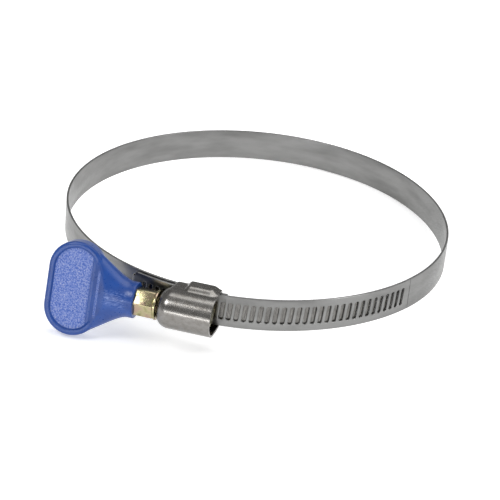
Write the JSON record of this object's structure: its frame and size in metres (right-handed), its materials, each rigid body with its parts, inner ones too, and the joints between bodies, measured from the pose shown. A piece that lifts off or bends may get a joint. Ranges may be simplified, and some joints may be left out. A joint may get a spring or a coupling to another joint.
{
  "type": "worm-drive hose clamp",
  "caption": "Worm-drive hose clamp: slotted stainless strip closed by a worm screw in a pressed housing and turned by a blue moulded thumb key.",
  "frame": {"origin": "centre of the closed ring, half way up the strip's width", "axes": "+Z along the ring's axis; the worm screw lies across -Y, parallel to X, with the thumb key on its -X end"},
  "size_m": [0.1082, 0.1176, 0.0252],
  "materials": {
    "strip_steel": "rolled stainless strip, satin",
    "housing_steel": "pressed stainless, lightly scratched",
    "zinc_screw": "yellow-passivated zinc plate",
    "key_plastic": "moulded blue plastic with spark-textured pockets"
  },
  "bodies": {
    "housing": {"housing": "housing_steel", "saddle": "strip_steel", "band_fixed_end": "strip_steel"},
    "screw": {"worm_screw": "zinc_screw", "thumb_key": "key_plastic"},
    "strip_end": {"slotted_band": "strip_steel"},
    "band_link_01": {"band_link_01": "strip_steel"},
    "band_link_02": {"band_link_02": "strip_steel"},
    "band_link_03": {"band_link_03": "strip_steel"},
    "band_link_04": {"band_link_04": "strip_steel"},
    "band_link_05": {"band_link_05": "strip_steel"},
    "band_link_06": {"band_link_06": "strip_steel"},
    "band_link_07": {"band_link_07": "strip_steel"},
    "band_link_08": {"band_link_08": "strip_steel"},
    "band_link_09": {"band_link_09": "strip_steel"},
    "band_link_10": {"band_link_10": "strip_steel"},
    "band_link_11": {"band_link_11": "strip_steel"},
    "band_link_12": {"band_link_12": "strip_steel"}
  },
  "joints": [
    {"name": "screw_turn", "type": "hinge", "parent": "housing", "child": "screw", "pos_m": [-0.009, -0.05865, 0], "axis": [1, 0, 0], "range_deg": [-1440, 8640]},
    {"name": "strip_feed", "type": "hinge", "parent": "housing", "child": "strip_end", "pos_m": [0, 0, 0], "axis": [0, 0, -1], "range_deg": [-8.49, 50.42]},
    {"name": "bend_01", "type": "hinge", "parent": "strip_end", "child": "band_link_01", "pos_m": [0.04959, -0.02224, 0], "axis": [0, 0, 1], "range_deg": [-1.42, 8.24]},
    {"name": "bend_02", "type": "hinge", "parent": "band_link_01", "child": "band_link_02", "pos_m": [0.05401, -0.00019, 0], "axis": [0, 0, 1], "range_deg": [-1, 5.78]},
    {"name": "bend_03", "type": "hinge", "parent": "band_link_02", "child": "band_link_03", "pos_m": [0.04881, 0.0215, 0], "axis": [0, 0, 1], "range_deg": [-0.67, 3.77]},
    {"name": "bend_04", "type": "hinge", "parent": "band_link_03", "child": "band_link_04", "pos_m": [0.03565, 0.03922, 0], "axis": [0, 0, 1], "range_deg": [-0.47, 2.6]},
    {"name": "bend_05", "type": "hinge", "parent": "band_link_04", "child": "band_link_05", "pos_m": [0.01665, 0.05032, 0], "axis": [0, 0, 1], "range_deg": [-0.44, 2.38]},
    {"name": "bend_06", "type": "hinge", "parent": "band_link_05", "child": "band_link_06", "pos_m": [-0.00522, 0.05274, 0], "axis": [0, 0, 1], "range_deg": [-0.53, 2.93]},
    {"name": "bend_07", "type": "hinge", "parent": "band_link_06", "child": "band_link_07", "pos_m": [-0.02619, 0.04607, 0], "axis": [0, 0, 1], "range_deg": [-0.69, 3.87]},
    {"name": "bend_08", "type": "hinge", "parent": "band_link_07", "child": "band_link_08", "pos_m": [-0.04265, 0.03146, 0], "axis": [0, 0, 1], "range_deg": [-0.83, 4.72]},
    {"name": "bend_09", "type": "hinge", "parent": "band_link_08", "child": "band_link_09", "pos_m": [-0.05175, 0.01143, 0], "axis": [0, 0, 1], "range_deg": [-0.89, 5.09]},
    {"name": "bend_10", "type": "hinge", "parent": "band_link_09", "child": "band_link_10", "pos_m": [-0.05193, -0.01058, 0], "axis": [0, 0, 1], "range_deg": [-0.84, 4.76]},
    {"name": "bend_11", "type": "hinge", "parent": "band_link_10", "child": "band_link_11", "pos_m": [-0.04316, -0.03076, 0], "axis": [0, 0, 1], "range_deg": [-0.67, 3.74]},
    {"name": "bend_12", "type": "hinge", "parent": "band_link_11", "child": "band_link_12", "pos_m": [-0.02695, -0.04564, 0], "axis": [0, 0, 1], "range_deg": [-0.43, 2.35]}
  ],
  "couplings": [
    {"joint": "strip_feed", "follows": "screw_turn", "ratio": 0.0058245},
    {"joint": "bend_01", "follows": "screw_turn", "ratio": 0.00094823},
    {"joint": "bend_02", "follows": "screw_turn", "ratio": 0.00066341},
    {"joint": "bend_03", "follows": "screw_turn", "ratio": 0.00043101},
    {"joint": "bend_04", "follows": "screw_turn", "ratio": 0.00029472},
    {"joint": "bend_05", "follows": "screw_turn", "ratio": 0.00026909},
    {"joint": "bend_06", "follows": "screw_turn", "ratio": 0.00033374},
    {"joint": "bend_07", "follows": "screw_turn", "ratio": 0.00044208},
    {"joint": "bend_08", "follows": "screw_turn", "ratio": 0.00054051},
    {"joint": "bend_09", "follows": "screw_turn", "ratio": 0.00058362},
    {"joint": "bend_10", "follows": "screw_turn", "ratio": 0.00054576},
    {"joint": "bend_11", "follows": "screw_turn", "ratio": 0.00042752},
    {"joint": "bend_12", "follows": "screw_turn", "ratio": 0.00026618}
  ]
}
